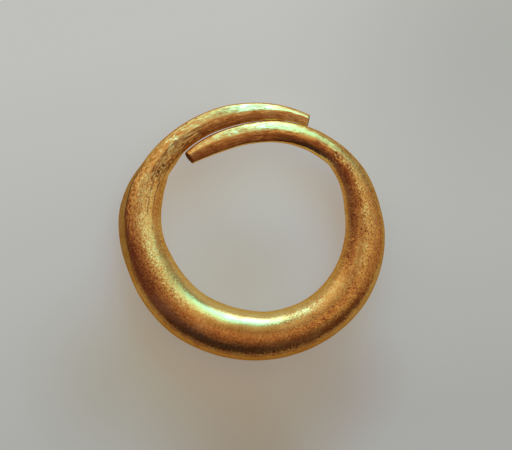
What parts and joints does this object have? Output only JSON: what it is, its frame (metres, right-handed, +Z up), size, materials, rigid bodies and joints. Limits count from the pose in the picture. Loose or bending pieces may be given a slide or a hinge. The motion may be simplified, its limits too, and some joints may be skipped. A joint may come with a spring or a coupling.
{
  "type": "hoop earring with overlapping ends",
  "caption": "Plain gold hoop earring with a thick body that tapers to two thin overlapping ends, which bend sideways to open it.",
  "frame": {"origin": "on the face that the hoop lies on, under the middle of its bounding box", "axes": "+Z up from the face that it lies on, through the hoop; +Y from the foot of the hoop towards its overlapping ends; +X to the right in the picture"},
  "size_m": [0.02, 0.0194, 0.0035],
  "materials": {
    "grained_gold": "gold with a fine grained satin surface",
    "hammered_gold": "gold hammered smooth, with soft facets"
  },
  "bodies": {
    "hoop": {"hoop_body": "grained_gold"},
    "outer_strand": {"outer_end": "hammered_gold"},
    "inner_strand": {"inner_end": "hammered_gold"}
  },
  "joints": [
    {"name": "outer_end_bend", "type": "hinge", "parent": "hoop", "child": "outer_strand", "pos_m": [-0.00661, 0.00554, 0.00171], "axis": [0.766, -0.6428, 0], "range_deg": [-15, 15]},
    {"name": "inner_end_bend", "type": "hinge", "parent": "hoop", "child": "inner_strand", "pos_m": [0.0057, 0.00619, 0.00171], "axis": [-0.6691, -0.7431, 0], "range_deg": [-15, 15]}
  ]
}
